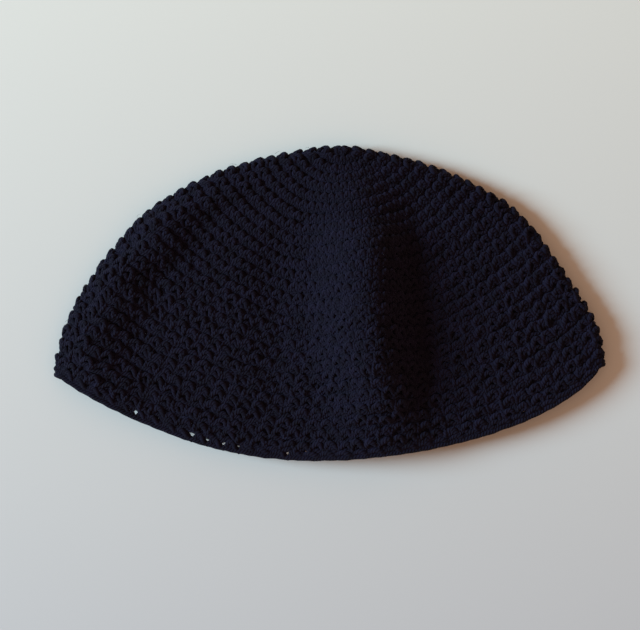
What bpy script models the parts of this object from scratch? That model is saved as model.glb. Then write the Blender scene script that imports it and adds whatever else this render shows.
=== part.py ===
"""Crocheted skullcap, lying folded in half.

The cap is a dome worked in rounds from the centre of the crown to the rim. It lies folded through that
centre: a lower layer flat on the ground and an upper layer above it, joined round one long fold. Every
round is therefore a flat loop that runs left to right over the upper layer, turns under at the right-hand
fold and comes back over the lower layer. The upper layer carries one tall ridge and a few softer folds.

Metres, +Z up. +X points to the right-hand corner and +Y to the crown. The ground is z = 0, and the
origin is the middle of the cap's footprint.
"""

from collections import namedtuple
from math import cos, pi, sin

import bmesh
import bpy
from mathutils import Vector

# Overall sizes
FOLDED_WIDTH = 0.2400      # between the two corners, over the outside of the cloth
FOLDED_DEPTH = 0.1362      # from the crown to the lowest part of the rim
WALL = 0.0036              # thickness of the crocheted cloth
FOLD_GAP = 0.0012          # space left between the two layers where the cloth turns over
EDGING_WIDTH = 0.0040      # border round, measured in the middle of the rim
EDGING_NOSE = 0.45         # share of the border's thickness that is left at its very edge
CLEARANCE = 0.0003         # between the crown and the border

# Heights above the lying cloth
PILLOW_HEIGHT = 0.0030     # broad puff of the whole upper layer
PILLOW_SPREAD = 0.85       # share of a half wave that the puff runs through from crown to rim
RIDGE_HEIGHT = 0.0160      # the ridge down the middle
ROLL_HEIGHT = 0.0050       # the roll along the left-hand fold
HOLLOW_DEPTH = 0.0014      # the dip between the two
LOWER_SETBACK = 0.0085     # how far the lower layer's rim lies behind the upper one, in the middle

# Faceting
FOLD_STEPS = 6             # facets round each fold
UPPER_STEPS = 38           # facets across the upper layer
LOWER_STEPS = 14           # facets across the lower layer
ROW_STEPS = 16             # facets from the crown to the border

YARN_COLOUR = (0.011, 0.011, 0.020, 1.0)
YARN_ROUGHNESS = 0.92

# The spread of the cloth. share: 0 at the crown, 1 at the rim. x and y are where the round meets the
# left and the right fold. sag is how far the round hangs below its ends. x is a share of the half width,
# y and sag are shares of the half depth. belly is how much fuller the round hangs towards the right:
# 0 is a plain arc, as on the left.
Round = namedtuple("Round", "share left_x left_y right_x right_y sag belly")
ROUNDS = (
    Round(0.000, 0.045, 1.000, 0.045, 1.000, 0.000, 0.0),
    Round(0.125, -0.135, 0.962, 0.211, 0.949, 0.203, 0.0),
    Round(0.250, -0.305, 0.894, 0.373, 0.872, 0.381, 0.0),
    Round(0.375, -0.476, 0.785, 0.526, 0.756, 0.521, 0.0),
    Round(0.500, -0.628, 0.625, 0.671, 0.597, 0.610, 0.0),
    Round(0.625, -0.748, 0.431, 0.777, 0.385, 0.660, 0.05),
    Round(0.750, -0.866, 0.150, 0.871, 0.143, 0.650, 0.10),
    Round(0.875, -0.954, -0.124, 0.964, -0.118, 0.632, 0.22),
    Round(1.000, -1.001, -0.462, 0.996, -0.340, 0.600, 0.41),
)

# The folds of the upper layer, as sections across them from the crown down. y and x place a section's
# highest or deepest point, left and right are how far it reaches to each side: y as a share of the half
# depth, the others of the half width. height is a share of the fold's own height, given above.
Section = namedtuple("Section", "y x height left right")
RIDGE = (
    Section(0.92, 0.060, 0.00, 0.17, 0.15),
    Section(0.60, 0.115, 0.38, 0.24, 0.20),
    Section(0.35, 0.134, 0.84, 0.25, 0.20),
    Section(0.00, 0.135, 1.00, 0.26, 0.21),
    Section(-0.35, 0.158, 0.96, 0.26, 0.21),
    Section(-0.60, 0.178, 0.67, 0.26, 0.22),
    Section(-0.80, 0.185, 0.34, 0.28, 0.25),
    Section(-1.00, 0.175, 0.18, 0.32, 0.30),
)
ROLL = (
    Section(0.85, -0.350, 0.00, 0.11, 0.18),
    Section(0.46, -0.632, 1.00, 0.11, 0.18),
    Section(0.08, -0.795, 1.00, 0.11, 0.18),
    Section(-0.30, -0.885, 0.90, 0.11, 0.20),
    Section(-0.60, -0.850, 0.40, 0.14, 0.22),
)
HOLLOW = (
    Section(0.60, -0.170, 0.00, 0.13, 0.10),
    Section(0.20, -0.190, 1.00, 0.15, 0.10),
    Section(-0.40, -0.200, 1.00, 0.15, 0.10),
    Section(-0.90, -0.170, 0.00, 0.15, 0.10),
)

FOLD_RADIUS = (WALL + FOLD_GAP) / 2         # of the middle of the cloth where it turns over
HALF_WIDTH = (FOLDED_WIDTH - WALL) / 2
HALF_DEPTH = (FOLDED_DEPTH - WALL / 2) / 2
DEPTH_SHIFT = -WALL / 4                     # centres the footprint: the crown has a wall beyond it
FOLD_LEVEL = WALL / 2 + FOLD_RADIUS
CROWN_CAP = FOLD_RADIUS * pi / 2 / FOLDED_DEPTH
PROBE = 0.002                               # step in share used to find the cloth's direction
HALVINGS = 24                               # of the span in which the start of a turn is looked for


def between(low, high, part):
    """A smooth step from low to high."""
    part = min(max(part, 0.0), 1.0)
    return low + (high - low) * part * part * (3 - 2 * part)


def past_crown(row):
    """The same round met from beyond the crown, where the left fold runs on as the right one."""
    return Round(-row.share, row.right_x, row.right_y, row.left_x, row.left_y, -row.sag, row.belly)


def round_at(share):
    """The round at any share, on a smooth curve through the table."""
    last = len(ROUNDS) - 1
    place = share * last
    index = min(int(place), last - 1)
    part = place - index
    before = ROUNDS[index - 1] if index > 0 else past_crown(ROUNDS[1])
    after = ROUNDS[min(index + 2, last)]
    values = []
    for a, b, c, d in zip(before, ROUNDS[index], ROUNDS[index + 1], after):
        start_slope = (c - a) / 2
        end_slope = (d - b) / 2 if index < last - 1 else c - b
        curve = ((2 * b - 2 * c + start_slope + end_slope) * part ** 3
                 + (3 * c - 3 * b - 2 * start_slope - end_slope) * part ** 2
                 + start_slope * part + b)
        values.append(curve)
    return Round(*values)


def section_height(sections, x, y):
    """How high a fold with these sections stands at x, y, as a share of its own height."""
    y_share = (y - DEPTH_SHIFT) / HALF_DEPTH
    if y_share >= sections[0].y:
        return 0.0
    for upper, lower in zip(sections, sections[1:]):
        if y_share >= lower.y:
            break
    part = (upper.y - y_share) / (upper.y - lower.y)
    _, crest, height, left, right = (between(a, b, part) for a, b in zip(upper, lower))
    away = x / HALF_WIDTH - crest
    reach = right if away > 0 else left
    if abs(away) >= reach:
        return 0.0
    return height * (1 + cos(pi * away / reach)) / 2


def relief(share, across, x, y):
    """Height of the upper layer above flat cloth."""
    pillow = PILLOW_HEIGHT * (1 - across ** 4) * sin(PILLOW_SPREAD * pi * share)
    ridge = RIDGE_HEIGHT * section_height(RIDGE, x, y)
    roll = ROLL_HEIGHT * section_height(ROLL, x, y)
    hollow = HOLLOW_DEPTH * section_height(HOLLOW, x, y)
    return pillow + ridge + roll - hollow


def cloth_point(share, across, level):
    """A point on the middle of the cloth: across is -1 at the left fold and 1 at the right one.

    level is -1 for the lower layer, 0 for the height of the fold and 1 for the upper layer.
    """
    row = round_at(share)
    half = (row.right_x - row.left_x) / 2 * HALF_WIDTH
    centre = (row.right_x + row.left_x) / 2 * HALF_WIDTH
    x = centre + half * across
    chord = (row.right_y + row.left_y) / 2 + across * (row.right_y - row.left_y) / 2
    hang = row.sag * (1 - across ** 2) ** (1 - row.belly if across > 0 else 1)
    y = (chord - hang) * HALF_DEPTH + DEPTH_SHIFT
    lift = FOLD_RADIUS * sin(min(share / CROWN_CAP, 1.0) * pi / 2)
    z = FOLD_LEVEL + lift * level
    if level > 0:
        z += level * relief(share, across, x, y)
    if level < 0:
        y -= level * LOWER_SETBACK * share ** 2 * (1 - across ** 2)
    return Vector((x, y, z))


def fold_frame(share, side):
    """Where the turn of a fold begins, as an across value, and the way out of the cap, square to the fold."""
    line = cloth_point(share + PROBE, side, 0) - cloth_point(max(share - PROBE, 0.0), side, 0)
    outward = Vector((-line.y, line.x, 0)).normalized() * side
    edge = cloth_point(share, side, 0)
    low, high = 0.0, 1.0
    for _ in range(HALVINGS):
        middle = (low + high) / 2
        if (edge - cloth_point(share, side * (1 - middle), 0)).dot(outward) < FOLD_RADIUS:
            low = middle
        else:
            high = middle
    return side * (1 - low), outward


def turn_points(share, across, outward):
    """The half circle of a fold, from the lower layer out and up to the upper one."""
    points = []
    for step in range(FOLD_STEPS + 1):
        turn = pi * (step / FOLD_STEPS - 0.5)
        points.append(cloth_point(share, across, sin(turn)) + outward * FOLD_RADIUS * cos(turn))
    return points


def flat_points(share, level, start, end, steps):
    """The points between the folds on one layer, without its two ends."""
    spots = [start + (end - start) * step / steps for step in range(1, steps)]
    return [cloth_point(share, spot, level) for spot in spots]


def loop_points(share):
    """One whole round: up the left fold, over the upper layer, down the right fold and back underneath."""
    left, left_outward = fold_frame(share, -1)
    right, right_outward = fold_frame(share, 1)
    return (turn_points(share, left, left_outward)
            + flat_points(share, 1, left, right, UPPER_STEPS)
            + turn_points(share, right, right_outward)[::-1]
            + flat_points(share, -1, right, left, LOWER_STEPS))


def wall_loops(share, half_thickness):
    """The outer and the inner loop of the wall at one share."""
    middle = loop_points(share)
    before = loop_points(max(share - PROBE, PROBE / 2))
    after = loop_points(min(share + PROBE, 1.0))
    outer, inner = [], []
    for index, point in enumerate(middle):
        along = middle[(index + 1) % len(middle)] - middle[index - 1]
        down = after[index] - before[index]
        normal = down.cross(along).normalized()
        outer.append(point + normal * half_thickness)
        inner.append(point - normal * half_thickness)
    return outer, inner


def bridge(mesh, upper, lower):
    """Faces between two loops with as many points."""
    count = len(upper)
    for index in range(count):
        following = (index + 1) % count
        mesh.faces.new((upper[index], upper[following], lower[following], lower[index]))


def close_crown(mesh, ring, radius):
    """Closes the small round at the crown's centre: the fold runs across it with this radius.

    Of the points between its two turns, one is left on each layer.
    """
    turn_end = FOLD_STEPS + 1
    upper_end = turn_end + UPPER_STEPS - 1
    right_end = upper_end + turn_end
    layers = ring[turn_end:upper_end], ring[right_end:]
    tops = [layer[len(layer) // 2] for layer in layers]
    centre = cloth_point(0, 0, 0) - Vector((0, FOLD_RADIUS, 0))
    turns = [pi * (step / FOLD_STEPS - 0.5) for step in range(1, FOLD_STEPS)]
    arc = [mesh.verts.new(centre + Vector((0, cos(turn), sin(turn))) * radius) for turn in turns]
    columns = ring[:turn_end], [tops[1]] + arc + [tops[0]], ring[upper_end:right_end][::-1]
    for left, right in zip(columns, columns[1:]):
        for step in range(FOLD_STEPS):
            mesh.faces.new((left[step], left[step + 1], right[step + 1], right[step]))
    joined = {point: top for layer, top in zip(layers, tops) for point in layer if point is not top}
    bmesh.ops.weld_verts(mesh, targetmap=joined)


def yarn_material(name):
    material = bpy.data.materials.new(name)
    material.use_nodes = True
    shader = material.node_tree.nodes["Principled BSDF"]
    shader.inputs["Base Color"].default_value = YARN_COLOUR
    shader.inputs["Roughness"].default_value = YARN_ROUGHNESS
    shader.inputs["Metallic"].default_value = 0.0
    return material


def make_cloth(name, stations, closed_at_crown):
    """A solid wall through stations of (share, half thickness), from the crown side to the rim side."""
    mesh = bmesh.new()
    outer_loops, inner_loops = [], []
    for share, half_thickness in stations:
        outer, inner = wall_loops(share, half_thickness)
        outer_loops.append([mesh.verts.new(point) for point in outer])
        inner_loops.append([mesh.verts.new(point) for point in inner])
    for loops in (outer_loops, inner_loops):
        for upper, lower in zip(loops, loops[1:]):
            bridge(mesh, upper, lower)
    bridge(mesh, outer_loops[-1], inner_loops[-1])
    if closed_at_crown:
        close_crown(mesh, outer_loops[0], FOLD_RADIUS + WALL / 2)
        close_crown(mesh, inner_loops[0], FOLD_RADIUS - WALL / 2)
    else:
        bridge(mesh, inner_loops[0], outer_loops[0])
    bmesh.ops.recalc_face_normals(mesh, faces=mesh.faces)
    data = bpy.data.meshes.new(name)
    mesh.to_mesh(data)
    mesh.free()
    data.shade_smooth()
    data.set_sharp_from_angle(angle=pi / 4)
    piece = bpy.data.objects.new(name, data)
    bpy.context.scene.collection.objects.link(piece)
    data.materials.append(yarn_material(name))
    return piece


def make_crown():
    end = 1 - (EDGING_WIDTH + CLEARANCE) / FOLDED_DEPTH
    shares = [CROWN_CAP] + [CROWN_CAP + (end - CROWN_CAP) * step / ROW_STEPS for step in range(1, ROW_STEPS + 1)]
    return make_cloth("crown", [(share, WALL / 2) for share in shares], closed_at_crown=True)


def make_edging():
    start = 1 - EDGING_WIDTH / FOLDED_DEPTH
    nose = 1 - EDGING_WIDTH / 3 / FOLDED_DEPTH
    stations = ((start, WALL / 2), (nose, WALL / 2), (1.0, WALL / 2 * EDGING_NOSE))
    return make_cloth("edging", stations, closed_at_crown=False)


def main():
    for item in list(bpy.data.objects):
        bpy.data.objects.remove(item, do_unlink=True)
    make_crown()
    make_edging()


main()
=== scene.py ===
"""Looks of the folded crocheted skullcap: every stitch as yarn, the edging, stray fibres, floor and light."""

from collections import namedtuple
from math import cos, pi, radians, sin, tan

import bpy
import numpy as np
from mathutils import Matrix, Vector


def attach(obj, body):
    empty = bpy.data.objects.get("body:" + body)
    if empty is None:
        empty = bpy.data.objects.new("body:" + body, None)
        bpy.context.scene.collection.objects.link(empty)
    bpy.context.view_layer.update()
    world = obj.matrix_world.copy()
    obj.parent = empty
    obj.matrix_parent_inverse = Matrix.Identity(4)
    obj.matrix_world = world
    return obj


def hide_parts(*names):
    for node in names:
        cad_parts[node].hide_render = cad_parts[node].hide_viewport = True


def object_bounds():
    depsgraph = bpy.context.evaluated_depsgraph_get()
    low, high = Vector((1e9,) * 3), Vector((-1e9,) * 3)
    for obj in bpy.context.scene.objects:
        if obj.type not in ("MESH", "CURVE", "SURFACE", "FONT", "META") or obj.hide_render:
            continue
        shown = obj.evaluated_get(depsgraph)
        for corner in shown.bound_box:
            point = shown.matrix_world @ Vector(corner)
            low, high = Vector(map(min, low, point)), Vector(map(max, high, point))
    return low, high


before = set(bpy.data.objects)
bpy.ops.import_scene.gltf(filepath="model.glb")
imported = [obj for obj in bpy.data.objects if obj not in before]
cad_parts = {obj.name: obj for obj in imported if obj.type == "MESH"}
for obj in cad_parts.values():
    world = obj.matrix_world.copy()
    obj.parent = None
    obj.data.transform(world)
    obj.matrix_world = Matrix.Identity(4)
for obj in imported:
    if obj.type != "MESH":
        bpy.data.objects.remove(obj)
cad_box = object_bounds()

# The lie of the cloth, with the same values and tables as the frame's solids. In metres
FOLDED_WIDTH = 0.2400
FOLDED_DEPTH = 0.1362
WALL = 0.0036
FOLD_GAP = 0.0012
EDGING_WIDTH = 0.0040
PILLOW_HEIGHT = 0.0030
PILLOW_SPREAD = 0.85
RIDGE_HEIGHT = 0.0160
ROLL_HEIGHT = 0.0050
HOLLOW_DEPTH = 0.0014
LOWER_SETBACK = 0.0085

# share: 0 at the crown, 1 at the rim. x and y are where a round meets the left and the right fold. sag is
# how far it hangs below its ends. x is a share of the half width, y and sag are shares of the half depth.
# belly is how much fuller the round hangs towards the right: 0 is a plain arc, as on the left.
Round = namedtuple("Round", "share left_x left_y right_x right_y sag belly")
ROUNDS = (
    Round(0.000, 0.045, 1.000, 0.045, 1.000, 0.000, 0.0),
    Round(0.125, -0.135, 0.962, 0.211, 0.949, 0.203, 0.0),
    Round(0.250, -0.305, 0.894, 0.373, 0.872, 0.381, 0.0),
    Round(0.375, -0.476, 0.785, 0.526, 0.756, 0.521, 0.0),
    Round(0.500, -0.628, 0.625, 0.671, 0.597, 0.610, 0.0),
    Round(0.625, -0.748, 0.431, 0.777, 0.385, 0.660, 0.05),
    Round(0.750, -0.866, 0.150, 0.871, 0.143, 0.650, 0.10),
    Round(0.875, -0.954, -0.124, 0.964, -0.118, 0.632, 0.22),
    Round(1.000, -1.001, -0.462, 0.996, -0.340, 0.600, 0.41),
)

# The folds of the upper layer, as sections across them from the crown down. y and x place a section's
# highest or deepest point, left and right are how far it reaches to each side: y as a share of the half
# depth, the others of the half width. height is a share of the fold's own height, given above.
Section = namedtuple("Section", "y x height left right")
RIDGE = (
    Section(0.92, 0.060, 0.00, 0.17, 0.15),
    Section(0.60, 0.115, 0.38, 0.24, 0.20),
    Section(0.35, 0.134, 0.84, 0.25, 0.20),
    Section(0.00, 0.135, 1.00, 0.26, 0.21),
    Section(-0.35, 0.158, 0.96, 0.26, 0.21),
    Section(-0.60, 0.178, 0.67, 0.26, 0.22),
    Section(-0.80, 0.185, 0.34, 0.28, 0.25),
    Section(-1.00, 0.175, 0.18, 0.32, 0.30),
)
ROLL = (
    Section(0.85, -0.350, 0.00, 0.11, 0.18),
    Section(0.46, -0.632, 1.00, 0.11, 0.18),
    Section(0.08, -0.795, 1.00, 0.11, 0.18),
    Section(-0.30, -0.885, 0.90, 0.11, 0.20),
    Section(-0.60, -0.850, 0.40, 0.14, 0.22),
)
HOLLOW = (
    Section(0.60, -0.170, 0.00, 0.13, 0.10),
    Section(0.20, -0.190, 1.00, 0.15, 0.10),
    Section(-0.40, -0.200, 1.00, 0.15, 0.10),
    Section(-0.90, -0.170, 0.00, 0.15, 0.10),
)

FOLD_RADIUS = (WALL + FOLD_GAP) / 2
HALF_WIDTH = (FOLDED_WIDTH - WALL) / 2
HALF_DEPTH = (FOLDED_DEPTH - WALL / 2) / 2
DEPTH_SHIFT = -WALL / 4
FOLD_LEVEL = WALL / 2 + FOLD_RADIUS
CROWN_CAP = FOLD_RADIUS * pi / 2 / FOLDED_DEPTH  # share over which the two layers part at the crown
PROBE = 0.002              # share to each side of a round over which a fold's direction is taken
HALVINGS = 24              # in the search for where a fold begins

# The rounds of stitches are also drawn towards the crown along the ridge, which smooth solids can't show
RIDGE_PULL = 0.0075
RIDGE_PULL_REACH = 0.29    # to each side of it, as a share of the half width

# The grid on which the middle of the cloth is worked out once, and then read
TURN_STEPS = 12            # around each fold
UPPER_STEPS = 150
LOWER_STEPS = 70
COLUMNS = 900              # around a round, evenly spaced over the cloth
ROWS = 232                 # from the crown to the rim
SHORTEST_ROUND = 0.001     # the least that a round's length counts as, at the very centre
TINY = 1e-12               # keeps a length of nothing from dividing by nothing

# The yarn and its stitches
YARN = 0.00100             # radius
ROUND_COUNT = 28           # rounds of stitches between the crown's centre and the edging
INCREASES = 7              # stitches that each round has more than the one before
INCREASE_ROUNDS = 12       # the rounds after it keep their number of stitches
LEAN = radians(12)         # of the stitches, from round to round
BARS_FROM = 0.50           # from here to the rim the stitches are wide enough to show a bar between them
UNEVEN_CROWN = 0.45        # how uneven the stitches are at the crown
UNEVEN_GROWTH = 0.75       # and how much more so at the rim
EVENING = 0.25             # how far a round's stitches even out against the round before
NEIGHBOUR_PASSES = 8       # how often each is set between its neighbours while doing so
FLATTENED = 0.86           # height of a strand in the cloth, as a share of its width
SIDES = 8
UV_UNITS = 100             # the strands' own coordinates run along them in centimetres
PIECE_TRIANGLES = 190000   # the most in one piece
SEED = 7

# How far stitches typically stray where they are wholly uneven, in the measures of their paths
STRAY_DOWN = 0.08
STRAY_ALONG = 0.09
STRAY_TILT = 0.32
STRAY_HEIGHT = 0.22
STRAY_THICKNESS = 0.09
WAVE_DOWN = 0.03           # and how far they stray together with their neighbours
WAVE_HEIGHT = 0.10
WAVES = 3                  # that make up such a slow stray
WAVE_TURNS = (2, 9)        # round the cap, from the first number up to below the second
WAVE_DIVISOR = 1.5         # of their sum, which brings its swing near 1

# The side on which a strand passes a hole
TO_CROWN, NEAREST, TO_RIM = -1, 0, 1

rng = np.random.default_rng(SEED)
FLOOR_LEVEL = cad_box[0][2]


def smooth(part):
    """A step from 0 to 1 with gentle ends."""
    part = np.clip(part, 0.0, 1.0)
    return part * part * (3 - 2 * part)


def past_crown(row):
    """The same round met from beyond the crown, where the left fold runs on as the right one."""
    return Round(-row.share, row.right_x, row.right_y, row.left_x, row.left_y, -row.sag, row.belly)


def round_at(share):
    """The round at any share, on a smooth curve through the table."""
    last = len(ROUNDS) - 1
    place = share * last
    index = min(int(place), last - 1)
    part = place - index
    before = ROUNDS[index - 1] if index > 0 else past_crown(ROUNDS[1])
    after = ROUNDS[min(index + 2, last)]
    values = []
    for a, b, c, d in zip(before, ROUNDS[index], ROUNDS[index + 1], after):
        start_slope = (c - a) / 2
        end_slope = (d - b) / 2 if index < last - 1 else c - b
        curve = ((2 * b - 2 * c + start_slope + end_slope) * part ** 3
                 + (3 * c - 3 * b - 2 * start_slope - end_slope) * part ** 2
                 + start_slope * part + b)
        values.append(curve)
    return Round(*values)


def section_height(sections, x, y):
    """How high a fold with these sections stands at x, y, as a share of its own height."""
    table = np.array(sections)
    y_share = (y - DEPTH_SHIFT) / HALF_DEPTH
    index = np.clip(np.searchsorted(-table[:, 0], -y_share) - 1, 0, len(table) - 2)
    upper, lower = table[index], table[index + 1]
    part = smooth((upper[:, 0] - y_share) / (upper[:, 0] - lower[:, 0]))
    crest, height, left, right = (upper[:, 1:] + (lower - upper)[:, 1:] * part[:, None]).T
    away = x / HALF_WIDTH - crest
    reach = np.where(away > 0, right, left)
    bump = height * (1 + np.cos(pi * np.clip(away / reach, -1, 1))) / 2
    return np.where(y_share < table[0, 0], bump, 0.0)


def relief(share, across, x, y):
    """Height of the upper layer above flat cloth."""
    pillow = PILLOW_HEIGHT * (1 - across ** 4) * sin(PILLOW_SPREAD * pi * share)
    ridge = RIDGE_HEIGHT * section_height(RIDGE, x, y)
    roll = ROLL_HEIGHT * section_height(ROLL, x, y)
    hollow = HOLLOW_DEPTH * section_height(HOLLOW, x, y)
    return pillow + ridge + roll - hollow


def ridge_pull(share, across, x):
    """How far a round lies nearer to the crown where it passes over the ridge."""
    crest = np.interp(share, (0.0, 1.0), (RIDGE[0].x, RIDGE[-1].x))
    away = np.clip((x / HALF_WIDTH - crest) / RIDGE_PULL_REACH, -1, 1)
    return RIDGE_PULL * sin(pi * share) * (1 + np.cos(pi * away)) / 2 * (1 - across ** 2)


def cloth_points(share, across, level):
    """Points on the middle of the cloth: across is -1 at the left fold and 1 at the right one."""
    across = np.atleast_1d(np.asarray(across, float))
    level = np.broadcast_to(np.asarray(level, float), across.shape)
    row = round_at(share)
    half = (row.right_x - row.left_x) / 2 * HALF_WIDTH
    centre = (row.right_x + row.left_x) / 2 * HALF_WIDTH
    x = centre + half * across
    chord = (row.right_y + row.left_y) / 2 + across * (row.right_y - row.left_y) / 2
    hang = row.sag * np.clip(1 - across ** 2, 0, 1) ** np.where(across > 0, 1 - row.belly, 1)
    y = (chord - hang) * HALF_DEPTH + DEPTH_SHIFT
    y = y + np.clip(level, 0, 1) * ridge_pull(share, across, x)
    lift = FOLD_RADIUS * sin(min(share / CROWN_CAP, 1.0) * pi / 2)
    z = FOLD_LEVEL + lift * level + np.clip(level, 0, 1) * relief(share, across, x, y)
    y = y + np.clip(-level, 0, 1) * LOWER_SETBACK * share ** 2 * (1 - across ** 2)
    return np.stack((x, y, z), axis=1)


def fold_frame(share, side):
    """Where the turn of a fold begins, as an across value, and the way out of the cap, square to the fold."""
    line = cloth_points(share + PROBE, side, 0)[0] - cloth_points(max(share - PROBE, 0.0), side, 0)[0]
    outward = np.array((-line[1], line[0], 0.0)) * side
    outward /= np.linalg.norm(outward)
    edge = cloth_points(share, side, 0)[0]
    low, high = 0.0, 1.0
    for _ in range(HALVINGS):
        middle = (low + high) / 2
        if (edge - cloth_points(share, side * (1 - middle), 0)[0]) @ outward < FOLD_RADIUS:
            low = middle
        else:
            high = middle
    return side * (1 - low), outward


def loop_points(share):
    """One whole round of the cloth's middle, from the outermost point of the left fold over the top."""
    left, left_outward = fold_frame(share, -1)
    right, right_outward = fold_frame(share, 1)
    turn = np.linspace(-pi / 2, pi / 2, TURN_STEPS + 1)
    upper = np.linspace(left, right, UPPER_STEPS + 1)[1:-1]
    lower = np.linspace(right, left, LOWER_STEPS + 1)[1:-1]
    across = np.concatenate((np.full(turn.size, left), upper, np.full(turn.size, right), lower))
    level = np.concatenate((np.sin(turn), np.ones(upper.size), np.sin(turn)[::-1], -np.ones(lower.size)))
    points = cloth_points(share, across, level)
    right_start = turn.size + upper.size
    out = FOLD_RADIUS * np.cos(turn)[:, None]
    points[:turn.size] += out * left_outward
    points[right_start:right_start + turn.size] += out * right_outward
    return np.roll(points, -(TURN_STEPS // 2), axis=0)


def even_loop(points, count):
    """The same closed loop with its points evenly spaced, and its length."""
    closed = np.vstack((points, points[:1]))
    reach = np.concatenate(([0.0], np.cumsum(np.linalg.norm(np.diff(closed, axis=0), axis=1))))
    places = np.arange(count) / count * reach[-1]
    return np.stack([np.interp(places, reach, closed[:, axis]) for axis in range(3)], axis=1), reach[-1]


def crown_loops(first, steps):
    """The loops between the crown's centre and the first one, on the cap that closes the fold there."""
    angle = np.arcsin(np.clip((first[:, 2] - FOLD_LEVEL) / FOLD_RADIUS, -1, 1))
    axis_y = first[np.argmax(first[:, 2]), 1]
    centre_x = first[:, 0].mean()
    rest = first[:, 1] - axis_y - FOLD_RADIUS * np.cos(angle)
    loops = []
    for step in range(steps):
        part = step / steps
        x = centre_x + (first[:, 0] - centre_x) * part
        y = axis_y + FOLD_RADIUS * np.cos(angle * part)
        z = FOLD_LEVEL + FOLD_RADIUS * np.sin(angle * part)
        loops.append(np.stack((x, y + rest * part, z), axis=1))
    return loops


class Cloth:
    """The middle of the cloth as a grid, read at any place around a round and any share from crown to rim."""

    def __init__(self):
        shares = np.arange(ROWS + 1) / ROWS
        cap_steps = int(CROWN_CAP * ROWS) + 1
        loops, lengths = [], []
        for share in shares[cap_steps:]:
            loop, length = even_loop(loop_points(share), COLUMNS)
            loops.append(loop)
            lengths.append(length)
        cap = crown_loops(loops[0], cap_steps)
        cap_lengths = [even_loop(loop, COLUMNS)[1] for loop in cap]
        self.points = np.array(cap + loops)
        self.lengths = np.array(cap_lengths + lengths)
        along = np.roll(self.points, -1, axis=1) - np.roll(self.points, 1, axis=1)
        along /= np.maximum(np.linalg.norm(along, axis=2, keepdims=True), TINY)
        down = np.gradient(self.points, axis=0) * ROWS
        normal = np.cross(down, along)
        self.normals = normal / np.maximum(np.linalg.norm(normal, axis=2, keepdims=True), TINY)
        slide = (down * along).sum(axis=2)
        self.pitch = np.linalg.norm(down - along * slide[:, :, None], axis=2)
        self.slide = slide / np.maximum(self.lengths, SHORTEST_ROUND)[:, None]

    def read(self, grid, around, share):
        """The values of a grid at some places: around is a share of the round, from the left fold."""
        column = np.mod(around, 1.0) * COLUMNS
        row = np.clip(share, 0.0, 1.0) * ROWS
        left = np.floor(column).astype(int) % COLUMNS
        right = (left + 1) % COLUMNS
        top = np.minimum(np.floor(row).astype(int), ROWS - 1)
        column_part = column - np.floor(column)
        row_part = row - top
        if grid.ndim == 3:
            column_part = column_part[..., None]
            row_part = row_part[..., None]
        upper = grid[top, left] * (1 - column_part) + grid[top, right] * column_part
        lower = grid[top + 1, left] * (1 - column_part) + grid[top + 1, right] * column_part
        return upper * (1 - row_part) + lower * row_part

    def place(self, around, share, height):
        """Points at some heights outside the middle of the cloth, and the way out of it there."""
        normal = self.read(self.normals, around, share)
        normal /= np.linalg.norm(normal, axis=-1, keepdims=True)
        return self.read(self.points, around, share) + normal * height[..., None], normal

    def length(self, share):
        """How long the round is."""
        return np.interp(share, np.arange(ROWS + 1) / ROWS, self.lengths)


# The paths of the strands that make one stitch: its arch, the chain that closes the round, a bar that shows
# between two wide arches, and the strand that fills the space to the next round. along is a share of the
# stitch's width, down a share of the round's (0 on the crown's side), height and thickness shares of YARN.
Spot = namedtuple("Spot", "along down height thickness")
STITCH_PATH = (
    Spot(-0.50, 0.78, 0.25, 0.98),
    Spot(-0.38, 0.65, 0.66, 1.02),
    Spot(-0.28, 0.47, 0.90, 1.08),
    Spot(-0.16, 0.31, 1.00, 1.14),
    Spot(0.00, 0.25, 1.03, 1.16),
    Spot(0.16, 0.31, 1.00, 1.14),
    Spot(0.28, 0.47, 0.90, 1.08),
    Spot(0.38, 0.65, 0.66, 1.02),
)
CHAIN_PATH = (
    Spot(-0.50, 1.00, 0.05, 1.02),
    Spot(-0.25, 0.87, 0.32, 1.04),
    Spot(0.00, 0.68, 0.58, 1.06),
    Spot(0.25, 0.87, 0.32, 1.04),
)
BAR_PATH = (
    Spot(-0.50, 0.22, 0.45, 0.88),
    Spot(-0.48, 0.48, 0.92, 0.98),
    Spot(-0.45, 0.78, 0.70, 0.96),
    Spot(-0.34, 1.00, 0.05, 0.90),
    Spot(-0.05, 0.90, -0.60, 0.85),
    Spot(0.30, 0.45, -0.30, 0.85),
)
FILLER_PATH = (
    Spot(-0.50, 1.27, 0.05, 1.08),
    Spot(-0.25, 1.16, -0.20, 1.05),
    Spot(0.00, 1.05, -0.30, 1.05),
    Spot(0.25, 1.16, -0.20, 1.05),
)


def square_to(vector, direction):
    """The part of each vector that is square to the direction, one long."""
    vector = vector - direction * (vector * direction).sum(axis=-1, keepdims=True)
    return vector / np.maximum(np.linalg.norm(vector, axis=-1, keepdims=True), TINY)


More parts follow.
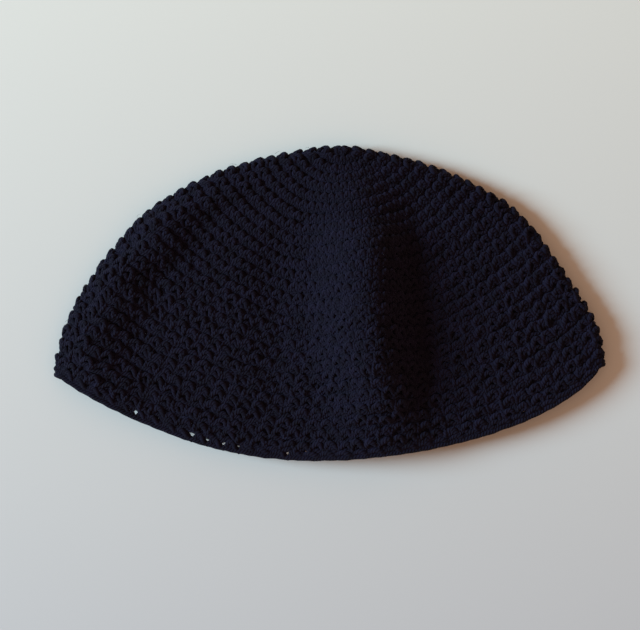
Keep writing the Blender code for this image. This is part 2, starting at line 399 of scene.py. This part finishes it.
def tubes(points, guide, thickness):
    """Rings around a closed strand, whose points are (stitch, spot, axis). thickness is the radius at each.

    guide is the way out of the cloth where each stitch starts, and sets how its rings are turned.
    """
    spots = points.shape[1]
    flat = points.reshape(-1, 3)
    tangent = np.roll(flat, -1, axis=0) - np.roll(flat, 1, axis=0)
    tangent /= np.maximum(np.linalg.norm(tangent, axis=1, keepdims=True), TINY)
    tangent = tangent.reshape(points.shape)
    start = square_to(guide, tangent[:, 0])
    carried = [start]
    for spot in range(1, spots):
        carried.append(square_to(carried[-1], tangent[:, spot]))
    following = np.roll(tangent[:, 0], -1, axis=0)
    last = square_to(carried[-1], following)
    wanted = np.roll(start, -1, axis=0)
    twist = np.arctan2((np.cross(last, wanted) * following).sum(axis=1), (last * wanted).sum(axis=1))
    up = np.stack(carried, axis=1)
    side = np.cross(tangent, up)
    turn = twist[:, None] * np.arange(spots) / spots
    rings = []
    for index in range(SIDES):
        angle = (turn + 2 * pi * index / SIDES)[..., None]
        rings.append(points + (up * np.cos(angle) * FLATTENED + side * np.sin(angle)) * thickness[..., None])
    rings = np.stack(rings, axis=2).reshape(-1, SIDES, 3)
    rings[:, :, 2] = np.maximum(rings[:, :, 2], FLOOR_LEVEL)
    return rings


class Strands:
    """Closed strands gathered for one mesh."""

    def __init__(self):
        self.vertices, self.faces, self.uvs = [], [], []
        self.count = 0
        self.triangles = 0

    def add(self, rings):
        """Takes in a strand that is given as its rings."""
        total = len(rings)
        ring = np.arange(total)
        following = (ring + 1) % total
        side = np.arange(SIDES)
        next_side = (side + 1) % SIDES
        here = self.count + ring[:, None] * SIDES
        there = self.count + following[:, None] * SIDES
        faces = np.stack((here + side, there + side, there + next_side, here + next_side), axis=2)
        centre = rings.mean(axis=1)
        steps = np.linalg.norm(np.roll(centre, -1, axis=0) - centre, axis=1)
        reach = np.concatenate(([0.0], np.cumsum(steps)))
        start, end = reach[:-1], reach[1:]
        uv = np.zeros((total, SIDES, 4, 2))
        uv[:, :, 0, 0] = uv[:, :, 1, 0] = side / SIDES
        uv[:, :, 2, 0] = uv[:, :, 3, 0] = (side + 1) / SIDES
        uv[:, :, 0, 1] = uv[:, :, 3, 1] = start[:, None] * UV_UNITS
        uv[:, :, 1, 1] = uv[:, :, 2, 1] = end[:, None] * UV_UNITS
        self.vertices.append(rings.reshape(-1, 3))
        self.faces.append(faces.reshape(-1, 4))
        self.uvs.append(uv.reshape(-1, 2))
        self.count += total * SIDES
        self.triangles += total * SIDES * 2

    def make(self, name, material):
        """The piece that all the strands so far make up."""
        vertices = np.concatenate(self.vertices)
        faces = np.concatenate(self.faces)
        mesh = bpy.data.meshes.new(name)
        mesh.vertices.add(len(vertices))
        mesh.vertices.foreach_set("co", vertices.astype(np.float32).ravel())
        mesh.loops.add(faces.size)
        mesh.loops.foreach_set("vertex_index", faces.astype(np.int32).ravel())
        mesh.polygons.add(len(faces))
        mesh.polygons.foreach_set("loop_start", np.arange(0, faces.size, 4, dtype=np.int32))
        mesh.update(calc_edges=True)
        layer = mesh.uv_layers.new(name="strand")
        layer.data.foreach_set("uv", np.concatenate(self.uvs).astype(np.float32).ravel())
        mesh.validate()
        return piece_of(mesh, material)


def piece_of(mesh, material):
    """A smooth mesh as a piece of the scene, under the mesh's name."""
    mesh.shade_smooth()
    mesh.materials.append(material)
    piece = bpy.data.objects.new(mesh.name, mesh)
    bpy.context.scene.collection.objects.link(piece)
    return piece


def round_strand(cloth, path, start, width, places, uneven, side):
    """A closed strand that repeats a path at each place around a round from share start, width wide.

    uneven is how uneven its stitches are, 1 for wholly, and side is the side on which it passes the holes.
    A stitch keeps its ends, where it joins its neighbours, and strays most in its middle.
    """
    spots = np.array(path)
    count = len(places)
    swing = np.sin(pi * np.arange(len(path)) / len(path))
    along_by, down_by, height_by, thickness_by, tilt_by = rng.normal(0, 1, (5, count, 1)) * uneven
    down = spots[:, 1] + down_by * STRAY_DOWN * swing + slow_wave(count) * uneven * WAVE_DOWN
    along = spots[:, 0] + along_by * STRAY_ALONG * swing + tilt_by * STRAY_TILT * swing * (down - 0.5)
    before = (places - np.roll(places, 1)) % 1.0
    after = (np.roll(places, -1) - places) % 1.0
    around = places[:, None] + np.where(along < 0, along * before[:, None], along * after[:, None])
    wave = slow_wave(count) * uneven * WAVE_HEIGHT
    height = (spots[:, 2] + height_by * STRAY_HEIGHT * swing + wave) * YARN
    around = around + (down - 0.5) * drift(cloth, around, start + width / 2, width)
    share = start + down * width
    around, share = around_holes(cloth, around, share, side)
    points, normals = cloth.place(around, share, height)
    thickness = (spots[:, 3] + thickness_by * STRAY_THICKNESS * swing) * YARN
    return tubes(points, normals[:, 0], thickness)


# Where light is seen through the edging: how far around the cap, and at which share
HOLES = (0.0802, 0.1317, 0.1452, 0.1590, 0.1737, 0.2150)
HOLE_SHARE = 0.979
HOLE_REACH = 0.00182           # from its middle to the middle of the strands round it
HOLE_INFLUENCE = 1.6           # how far off strands are still pushed, as a multiple of that


def around_holes(cloth, around, share, side):
    """The same places with the strands pushed aside at the holes."""
    length = cloth.length(HOLE_SHARE)
    for hole in HOLES:
        across = (around % 1.0 - hole) * length
        down = (share - HOLE_SHARE) * FOLDED_DEPTH
        if side == NEAREST:
            away = np.maximum(np.hypot(across, down), TINY)
            pushed = HOLE_REACH + away * (1 - 1 / HOLE_INFLUENCE)
            wanted = np.where(away < HOLE_INFLUENCE * HOLE_REACH, pushed, away)
            around = around + across * (wanted / away - 1) / length
            share = share + down * (wanted / away - 1) / FOLDED_DEPTH
        else:
            needed = np.sqrt(np.maximum(HOLE_REACH ** 2 - across ** 2, 0.0))
            share = HOLE_SHARE + side * np.maximum(side * down, needed) / FOLDED_DEPTH
    return around, np.minimum(share, 1.0)


def slow_wave(count):
    """The uneven hand along a round: a value for each stitch that changes slowly."""
    turns = rng.integers(*WAVE_TURNS, WAVES)
    starts = rng.random(WAVES) * 2 * pi
    angle = 2 * pi * np.arange(count) / count
    return sum(np.sin(angle * turn + first) for turn, first in zip(turns, starts))[:, None] / WAVE_DIVISOR


def drift(cloth, around, share, width):
    """How far around the cap a stitch leads while it goes from one round to the next."""
    shares = np.full_like(around, share)
    slide = cloth.read(cloth.slide, around, shares) * width
    lean = tan(LEAN) * width * cloth.read(cloth.pitch, around, shares) / cloth.length(share)
    return -slide - lean


def next_places(cloth, places, share, width, grow):
    """The places of the next round's stitches: each below its parent, with some parents having two."""
    places = places + drift(cloth, places, share, width)
    if grow:
        spacing = len(places) / grow
        parents = ((np.arange(grow) + rng.random()) * spacing).astype(int)
        after = places + ((np.roll(places, -1) - places) % 1.0) / 2
        places = np.insert(places, parents + 1, after[parents])
    count = len(places)
    even = np.arange(count) / count
    lag = np.unwrap(2 * pi * (places - even)) / (2 * pi)
    for _ in range(NEIGHBOUR_PASSES):
        lag = (np.roll(lag, 1) + 2 * lag + np.roll(lag, -1)) / 4
    return even + lag * (1 - EVENING) + lag.mean() * EVENING


def crochet(cloth, material):
    """All rounds of stitches, in as many pieces as the triangle limit asks for."""
    width = (1 - EDGING_WIDTH / FOLDED_DEPTH) / ROUND_COUNT
    pieces = []
    strands = Strands()
    places = np.arange(INCREASES) / INCREASES
    for index in range(ROUND_COUNT):
        start = index * width
        paths = [STITCH_PATH, CHAIN_PATH, FILLER_PATH]
        if start > BARS_FROM:
            paths.append(BAR_PATH)
        added = len(places) * sum(len(path) for path in paths) * SIDES * 2
        if strands.triangles + added > PIECE_TRIANGLES:
            pieces.append(strands.make(f"crown_rounds_{len(pieces) + 1}", material))
            strands = Strands()
        uneven = UNEVEN_CROWN + UNEVEN_GROWTH * start
        for path in paths:
            strands.add(round_strand(cloth, path, start, width, places, uneven, TO_CROWN))
        grow = INCREASES if index + 1 < INCREASE_ROUNDS else 0
        places = next_places(cloth, places, start + width, width, grow)
    pieces.append(strands.make(f"crown_rounds_{len(pieces) + 1}", material))
    return pieces


# The edging: a base under the last round, links along the rim, and the cord they are drawn over
EDGING_STITCHES = 72
EDGING_PHASE = 0.95            # puts the spaces between its links at the holes
BASE_PATH = (
    Spot(-0.50, 0.38, -0.30, 1.30),
    Spot(-0.33, 0.37, -0.30, 1.30),
    Spot(-0.17, 0.35, -0.25, 1.30),
    Spot(0.00, 0.34, -0.25, 1.30),
    Spot(0.17, 0.35, -0.25, 1.30),
    Spot(0.33, 0.37, -0.30, 1.30),
)
LINK_PATH = (
    Spot(-0.50, 0.40, 0.05, 0.98),
    Spot(-0.32, 0.16, 0.50, 1.02),
    Spot(-0.08, 0.06, 0.72, 1.06),
    Spot(0.16, 0.22, 0.78, 1.06),
    Spot(0.34, 0.42, 0.52, 1.02),
)
CORD_PATH = (
    Spot(-0.50, 0.70, 0.05, 1.16),
    Spot(-0.17, 0.67, 0.12, 1.20),
    Spot(0.17, 0.72, 0.05, 1.17),
)
Strand = namedtuple("Strand", "path uneven side")
EDGING_STRANDS = (
    Strand(BASE_PATH, 0.1, TO_RIM),
    Strand(LINK_PATH, 0.6, NEAREST),
    Strand(CORD_PATH, 0.3, TO_RIM),
)


def make_edging(cloth, material):
    """The border along the rim."""
    width = EDGING_WIDTH / FOLDED_DEPTH
    places = (np.arange(EDGING_STITCHES) + EDGING_PHASE) / EDGING_STITCHES
    strands = Strands()
    for strand in EDGING_STRANDS:
        strands.add(round_strand(cloth, strand.path, 1 - width, width, places, strand.uneven, strand.side))
    return strands.make("edging_strands", material)


# Loose ends of fibre: where they start, which way they point, how long they are and how far they rise
Fibre = namedtuple("Fibre", "around share turn length rise")
FIBRES = (
    Fibre(0.2500, 0.012, 1.45, 0.0050, 0.0012),
    Fibre(0.0100, 0.560, 2.75, 0.0060, 0.0010),
)
FIBRE_COUNT = 260              # more, strewn over the cap
FIBRE_FIRST_SHARE = 0.03
FIBRE_SHARES = 0.95            # from there on
FIBRE_SPREAD = 0.6             # under 1 strews more of them towards the rim
FIBRE_LENGTHS = (0.0012, 0.0034)
FIBRE_RISES = (0.0002, 0.0009)
FIBRE_BEND = 1.2               # the most that one turns on its way, in radians
FIBRE_ROOT = 1.9               # height at which it starts, as a share of YARN
FIBRE_ARCH = 0.6               # share of half a wave over which it rises and comes down
FIBRE_RADIUS = 0.00006
FIBRE_THICK_END = 1.15         # radius there, as a share; the other end is thinner by 1
FIBRE_SPOTS = 7
FIBRE_SIDES = 3
FIBRE_SMALLEST_ROUND = 0.05    # no round counts as shorter, so that no fibre winds around the crown


def make_fibres(cloth, material):
    """Short fibres that stand off the yarn, and a few longer ones."""
    fibres = list(FIBRES)
    for _ in range(FIBRE_COUNT):
        around = rng.random()
        share = FIBRE_FIRST_SHARE + FIBRE_SHARES * rng.random() ** FIBRE_SPREAD
        turn = rng.random() * 2 * pi
        fibres.append(Fibre(around, share, turn, rng.uniform(*FIBRE_LENGTHS), rng.uniform(*FIBRE_RISES)))
    vertices, faces = [], []
    for fibre in fibres:
        part = np.linspace(0, 1, FIBRE_SPOTS)
        turn = fibre.turn + part * rng.uniform(-FIBRE_BEND, FIBRE_BEND)
        run = part * fibre.length
        around = fibre.around + run * np.cos(turn) / max(cloth.length(fibre.share), FIBRE_SMALLEST_ROUND)
        share = fibre.share + run * np.sin(turn) / FOLDED_DEPTH
        height = FIBRE_ROOT * YARN + fibre.rise * np.sin(part * pi * FIBRE_ARCH)
        points, normals = cloth.place(around, np.clip(share, 0, 1), height)
        tangent = np.gradient(points, axis=0)
        tangent /= np.linalg.norm(tangent, axis=1, keepdims=True)
        side = np.cross(tangent, normals)
        side /= np.linalg.norm(side, axis=1, keepdims=True)
        up = np.cross(side, tangent)
        radius = FIBRE_RADIUS * (FIBRE_THICK_END - part)[:, None]
        base = len(vertices)
        for corner in range(FIBRE_SIDES):
            angle = 2 * pi * corner / FIBRE_SIDES
            ring = points + (side * cos(angle) + up * sin(angle)) * radius
            ring[:, 2] = np.maximum(ring[:, 2], FLOOR_LEVEL)
            vertices.extend(ring.tolist())
        for corner in range(FIBRE_SIDES):
            here = base + corner * FIBRE_SPOTS
            other = base + (corner + 1) % FIBRE_SIDES * FIBRE_SPOTS
            for spot in range(FIBRE_SPOTS - 1):
                faces.append((here + spot, here + spot + 1, other + spot + 1, other + spot))
    mesh = bpy.data.meshes.new("fibres")
    mesh.from_pydata(vertices, [], faces)
    mesh.update()
    return piece_of(mesh, material)


# The thin wall that closes the cloth behind its strands
CORE_ROWS = 50
CORE_COLUMNS = 300
CORE_START = 0.012             # as a share of the way from crown to rim
CORE_END = 0.968
CORE_HALF = 0.00015            # half its thickness


def make_core(cloth, material):
    """The inside of the cloth, which the strands hide: a thin wall on its middle."""
    around = np.arange(CORE_COLUMNS) / CORE_COLUMNS
    part = np.linspace(0, 1, CORE_ROWS)[:, None]
    share = np.broadcast_to(CORE_START + (CORE_END - CORE_START) * part, (CORE_ROWS, CORE_COLUMNS))
    around = np.broadcast_to(around, share.shape)
    full = np.full(share.shape, CORE_HALF)
    outer, _ = cloth.place(around, share, full)
    inner, _ = cloth.place(around, share, -full)
    vertices = np.concatenate((outer.reshape(-1, 3), inner.reshape(-1, 3)))
    inside = CORE_ROWS * CORE_COLUMNS
    faces = []
    for row in range(CORE_ROWS - 1):
        for column in range(CORE_COLUMNS):
            following = (column + 1) % CORE_COLUMNS
            a, b = row * CORE_COLUMNS + column, row * CORE_COLUMNS + following
            c, d = a + CORE_COLUMNS, b + CORE_COLUMNS
            faces.append((a, c, d, b))
            faces.append((inside + a, inside + b, inside + d, inside + c))
    last = (CORE_ROWS - 1) * CORE_COLUMNS
    for column in range(CORE_COLUMNS):
        following = (column + 1) % CORE_COLUMNS
        faces.append((last + column, inside + last + column, inside + last + following, last + following))
        faces.append((following, inside + following, inside + column, column))
    mesh = bpy.data.meshes.new("crown_core")
    mesh.from_pydata(vertices.tolist(), [], faces)
    mesh.update()
    return piece_of(mesh, material)


# The finish of the yarn. Scales are in spots a metre
YARN_DARK = (0.0044, 0.0036, 0.0113, 1.0)
YARN_LIGHT = (0.0090, 0.0074, 0.0240, 1.0)
YARN_SHEEN = (0.45, 0.45, 0.62, 1.0)
PATCH_SCALE = 220.0
FUZZ_SCALE = 2600.0
FUZZ_DEPTH = 0.00025
PLIES = 3
PLY_TURN = 0.42            # centimetres of yarn for one turn of its plies
PLY_DEPTH = 0.00028


def noise(nodes, links, place, scale, detail):
    """Cloudy unevenness all over."""
    node = nodes.new("ShaderNodeTexNoise")
    node.inputs["Scale"].default_value = scale
    node.inputs["Detail"].default_value = detail
    links.new(place.outputs["Object"], node.inputs["Vector"])
    return node.outputs["Fac"]


def bump(nodes, links, height, strength, distance):
    """A bump from a height."""
    node = nodes.new("ShaderNodeBump")
    node.inputs["Strength"].default_value = strength
    node.inputs["Distance"].default_value = distance
    links.new(height, node.inputs["Height"])
    return node


def ply_height(nodes, links):
    """Round plies that wind along a strand, from the strand's own coordinates."""
    strand = nodes.new("ShaderNodeUVMap")
    strand.uv_map = "strand"
    axes = nodes.new("ShaderNodeSeparateXYZ")
    links.new(strand.outputs["UV"], axes.inputs["Vector"])
    around = nodes.new("ShaderNodeMath")
    around.operation = "MULTIPLY"
    around.inputs[1].default_value = pi * PLIES
    links.new(axes.outputs["X"], around.inputs[0])
    along = nodes.new("ShaderNodeMath")
    along.operation = "MULTIPLY_ADD"
    along.inputs[1].default_value = pi * PLIES / PLY_TURN
    links.new(axes.outputs["Y"], along.inputs[0])
    links.new(around.outputs["Value"], along.inputs[2])
    wave = nodes.new("ShaderNodeMath")
    wave.operation = "SINE"
    links.new(along.outputs["Value"], wave.inputs[0])
    height = nodes.new("ShaderNodeMath")
    height.operation = "ABSOLUTE"
    links.new(wave.outputs["Value"], height.inputs[0])
    return height.outputs["Value"]


def yarn_material():
    """Matte, slightly fuzzy cotton yarn whose plies show."""
    material = bpy.data.materials.new("yarn")
    material.use_nodes = True
    nodes, links = material.node_tree.nodes, material.node_tree.links
    shader = nodes["Principled BSDF"]
    shader.inputs["Roughness"].default_value = 0.85
    shader.inputs["Diffuse Roughness"].default_value = 1.0
    shader.inputs["Specular IOR Level"].default_value = 0.10
    shader.inputs["Sheen Weight"].default_value = 0.02
    shader.inputs["Sheen Roughness"].default_value = 0.5
    shader.inputs["Sheen Tint"].default_value = YARN_SHEEN
    place = nodes.new("ShaderNodeTexCoord")
    patches = noise(nodes, links, place, PATCH_SCALE, detail=3.0)
    colours = nodes.new("ShaderNodeValToRGB")
    dark, light = colours.color_ramp.elements
    dark.position = 0.30
    dark.color = YARN_DARK
    light.position = 0.75
    light.color = YARN_LIGHT
    links.new(patches, colours.inputs["Fac"])
    links.new(colours.outputs["Color"], shader.inputs["Base Color"])
    fuzz_height = noise(nodes, links, place, FUZZ_SCALE, detail=2.0)
    fuzz = bump(nodes, links, fuzz_height, strength=0.6, distance=FUZZ_DEPTH)
    plies = bump(nodes, links, ply_height(nodes, links), strength=1.0, distance=PLY_DEPTH)
    links.new(fuzz.outputs["Normal"], plies.inputs["Normal"])
    links.new(plies.outputs["Normal"], shader.inputs["Normal"])
    return material


# The floor's colour has painted shade: it grows darker towards the front and a little towards the right, as
# falling light would make it. It lies just under the cap
FLOOR_FRONT_PAINTED_SHADE = (0.560, 0.570, 0.620, 1.0)
FLOOR_BACK = (0.745, 0.755, 0.755, 1.0)
FLOOR_FRONT_Y, FLOOR_BACK_Y = -0.145, 0.135
FLOOR_LEFT_X, FLOOR_RIGHT_X = -0.14, 0.14
# The painted shade towards the right:
FLOOR_RIGHT_PAINTED_SHADE = 0.95       # brightness at the right as a share of the left's
FLOOR_SIZE = 4.0
FLOOR_GAP = 0.0002


def floor_material():
    """A pale surface with painted shade, darker towards the front and a little towards the right."""
    material = bpy.data.materials.new("table_top")
    material.use_nodes = True
    nodes, links = material.node_tree.nodes, material.node_tree.links
    shader = nodes["Principled BSDF"]
    shader.inputs["Roughness"].default_value = 0.6
    place = nodes.new("ShaderNodeTexCoord")
    axes = nodes.new("ShaderNodeSeparateXYZ")
    links.new(place.outputs["Object"], axes.inputs["Vector"])
    # Painted shade: the colour darkens towards the front, and is scaled down towards the right
    back = nodes.new("ShaderNodeMapRange")
    back.inputs["From Min"].default_value = FLOOR_FRONT_Y
    back.inputs["From Max"].default_value = FLOOR_BACK_Y
    links.new(axes.outputs["Y"], back.inputs["Value"])
    right = nodes.new("ShaderNodeMapRange")
    right.inputs["From Min"].default_value = FLOOR_LEFT_X
    right.inputs["From Max"].default_value = FLOOR_RIGHT_X
    right.inputs["To Min"].default_value = 1.0
    right.inputs["To Max"].default_value = FLOOR_RIGHT_PAINTED_SHADE
    links.new(axes.outputs["X"], right.inputs["Value"])
    colours = nodes.new("ShaderNodeValToRGB")
    colours.color_ramp.elements[0].color = FLOOR_FRONT_PAINTED_SHADE
    colours.color_ramp.elements[1].color = FLOOR_BACK
    links.new(back.outputs["Result"], colours.inputs["Fac"])
    shade = nodes.new("ShaderNodeVectorMath")
    shade.operation = "SCALE"
    links.new(colours.outputs["Color"], shade.inputs[0])
    links.new(right.outputs["Result"], shade.inputs["Scale"])
    links.new(shade.outputs["Vector"], shader.inputs["Base Color"])
    return material


def make_floor():
    """The surface that the cap lies on, which isn't part of it."""
    bpy.ops.mesh.primitive_plane_add(size=FLOOR_SIZE, location=(0, 0, FLOOR_LEVEL - FLOOR_GAP))
    floor = bpy.context.object
    floor.name = "table_top"
    floor.data.materials.append(floor_material())


# The camera looks straight down
PIXEL = 0.0004324              # size on the cap of one pixel of the picture
FRAME_WIDTH_PIXELS = 640
VIEW_CENTRE = Vector((-0.0041, -0.0054, 0.0040))
CAMERA_DISTANCE = 0.70
SENSOR = 36.0
NEAREST_SEEN = 0.01


def make_camera():
    """The view from straight above."""
    data = bpy.data.cameras.new("camera")
    camera = bpy.data.objects.new("camera", data)
    bpy.context.scene.collection.objects.link(camera)
    camera.location = VIEW_CENTRE + Vector((0, 0, CAMERA_DISTANCE))
    data.sensor_width = SENSOR
    data.lens = SENSOR * CAMERA_DISTANCE / (PIXEL * FRAME_WIDTH_PIXELS)
    data.clip_start = NEAREST_SEEN
    bpy.context.scene.camera = camera


# One large lamp from the left and a little from behind, and a warm room
KEY_AZIMUTH = radians(174)
KEY_ELEVATION = radians(26)
KEY_DISTANCE = 4.5
KEY_SIZE = 2.0
KEY_POWER = 330.0
KEY_COLOUR = (0.62, 0.93, 1.03)
FILL_COLOUR = (1.0, 0.60, 0.38)
FILL_STRENGTH = 0.50


def make_lights():
    """The lamp and the light of the room."""
    data = bpy.data.lights.new("key", "AREA")
    data.shape = "DISK"
    data.size = KEY_SIZE
    data.energy = KEY_POWER
    data.color = KEY_COLOUR
    key = bpy.data.objects.new("key", data)
    bpy.context.scene.collection.objects.link(key)
    direction = Vector((cos(KEY_AZIMUTH) * cos(KEY_ELEVATION), sin(KEY_AZIMUTH) * cos(KEY_ELEVATION),
                        sin(KEY_ELEVATION)))
    key.location = direction * KEY_DISTANCE
    key.rotation_euler = direction.to_track_quat("Z", "Y").to_euler()
    world = bpy.data.worlds.new("room")
    world.use_nodes = True
    background = world.node_tree.nodes["Background"]
    background.inputs["Color"].default_value = (*FILL_COLOUR, 1.0)
    background.inputs["Strength"].default_value = FILL_STRENGTH
    bpy.context.scene.world = world


def main():
    """Makes the scene."""
    make_camera()
    cloth = Cloth()
    yarn = yarn_material()
    pieces = crochet(cloth, yarn)
    pieces.append(make_core(cloth, yarn))
    pieces.append(make_fibres(cloth, yarn))
    for piece in pieces:
        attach(piece, "root")
        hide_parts("crown")
    edging = make_edging(cloth, yarn)
    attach(edging, "root")
    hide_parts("edging")
    make_floor()
    make_lights()
    bpy.context.scene.view_settings.view_transform = "Standard"


main()
